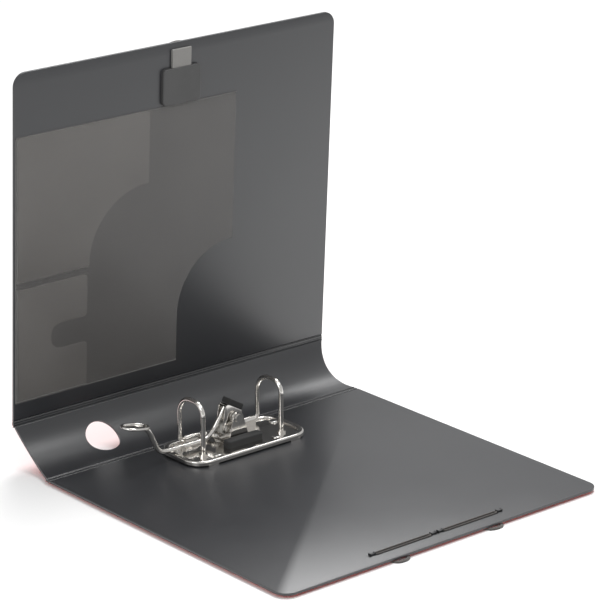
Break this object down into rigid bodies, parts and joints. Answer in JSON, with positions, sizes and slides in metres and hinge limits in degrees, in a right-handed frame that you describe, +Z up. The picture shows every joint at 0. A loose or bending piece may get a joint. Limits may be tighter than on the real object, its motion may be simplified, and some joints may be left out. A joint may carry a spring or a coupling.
{
  "type": "lever arch file",
  "caption": "A4 lever arch file standing open: covers on living hinges, curved spine with label and finger hole, lever arch mechanism, film pockets and elastic closure.",
  "frame": {"origin": "on the table, under the middle of the open file", "axes": "+X along the spine towards the top edge of the file, +Y from the back cover's fore-edge to the spine, +Z up"},
  "size_m": [0.318, 0.336, 0.3228],
  "materials": {
    "cover_skin": "red polypropylene, fine woven grain, ribbed on the spine",
    "lining": "dark warm grey board with a fine grain",
    "hinge_web": "thin red living hinge, creased",
    "clear_film": "clear film, glossy",
    "paper": "white card with ruled lines",
    "frosted_film": "dark frosted film",
    "grey_plastic": "taupe grey moulded plastic",
    "dark_plastic": "dark grey moulded plastic",
    "webbing": "light grey woven tape",
    "elastic": "grey braided elastic",
    "clip_metal": "blackened steel",
    "chromed_steel": "bright nickel plating",
    "rivet_steel": "nickel plated rivet",
    "spring_steel": "drawn spring wire",
    "black_plastic": "black moulded plastic",
    "roller_plastic": "pale nylon"
  },
  "bodies": {
    "back_cover": {"back_cover_skin": "cover_skin", "back_cover_lining": "lining", "back_hinge": "hinge_web", "base_plate": "chromed_steel", "mount_rivets": "rivet_steel", "ring_posts": "chromed_steel", "rod_saddles": "chromed_steel", "lever_bracket": "chromed_steel", "guide_block": "black_plastic", "lever_pin": "rivet_steel", "lever_spring": "spring_steel", "elastic_runs": "elastic", "elastic_clips": "clip_metal"},
    "spine": {"spine_skin": "cover_skin", "spine_lining": "lining", "label_holder": "clear_film"},
    "front_cover": {"front_cover_skin": "cover_skin", "front_cover_lining": "lining", "front_hinge": "hinge_web", "large_pocket": "frosted_film", "upper_pocket": "frosted_film", "lower_pocket": "frosted_film", "ring_button": "grey_plastic", "backing_plate": "dark_plastic", "pull_strap": "webbing"},
    "lever": {"lever_arm": "chromed_steel", "lever_cap": "black_plastic", "roller_pin": "rivet_steel"},
    "roller": {"roller": "roller_plastic"},
    "arches": {"arch_frame": "chromed_steel"},
    "label": {"label_card": "paper"},
    "elastic": {"elastic_strand": "elastic"}
  },
  "joints": [
    {"name": "spine_hinge", "type": "hinge", "parent": "back_cover", "child": "spine", "pos_m": [0, 0.12141, 0.00285], "axis": [-1, 0, 0], "range_deg": [-58, 0], "deforming": ["back_hinge"]},
    {"name": "cover_hinge", "type": "hinge", "parent": "spine", "child": "front_cover", "pos_m": [0, 0.16694, 0.03715], "axis": [-1, 0, 0], "range_deg": [-39, 99], "deforming": ["front_hinge"]},
    {"name": "lever_hinge", "type": "hinge", "parent": "back_cover", "child": "lever", "pos_m": [0.0015, 0.09326, 0.0265], "axis": [0, 1, 0], "range_deg": [0, 75]},
    {"name": "arch_hinge", "type": "hinge", "parent": "back_cover", "child": "arches", "pos_m": [0, 0.10741, 0.0111], "axis": [-1, 0, 0], "range_deg": [0, 53]},
    {"name": "roller_spin", "type": "hinge", "parent": "lever", "child": "roller", "pos_m": [-0.00698, 0.09326, 0.01801], "axis": [0, 1, 0], "continuous": true},
    {"name": "label_slide", "type": "slide", "parent": "spine", "child": "label", "axis": [1, 0, 0], "range_m": [0, 0.1]},
    {"name": "elastic_swing", "type": "hinge", "parent": "back_cover", "child": "elastic", "pos_m": [0, -0.22949, 0.0008], "axis": [-1, 0, 0], "range_deg": [-10, 0], "stiffness_Nm_per_rad": 0.02, "deforming": ["elastic_strand"]}
  ],
  "couplings": [
    {"joint": "arch_hinge", "follows": "lever_hinge", "ratio": 0.7}
  ]
}
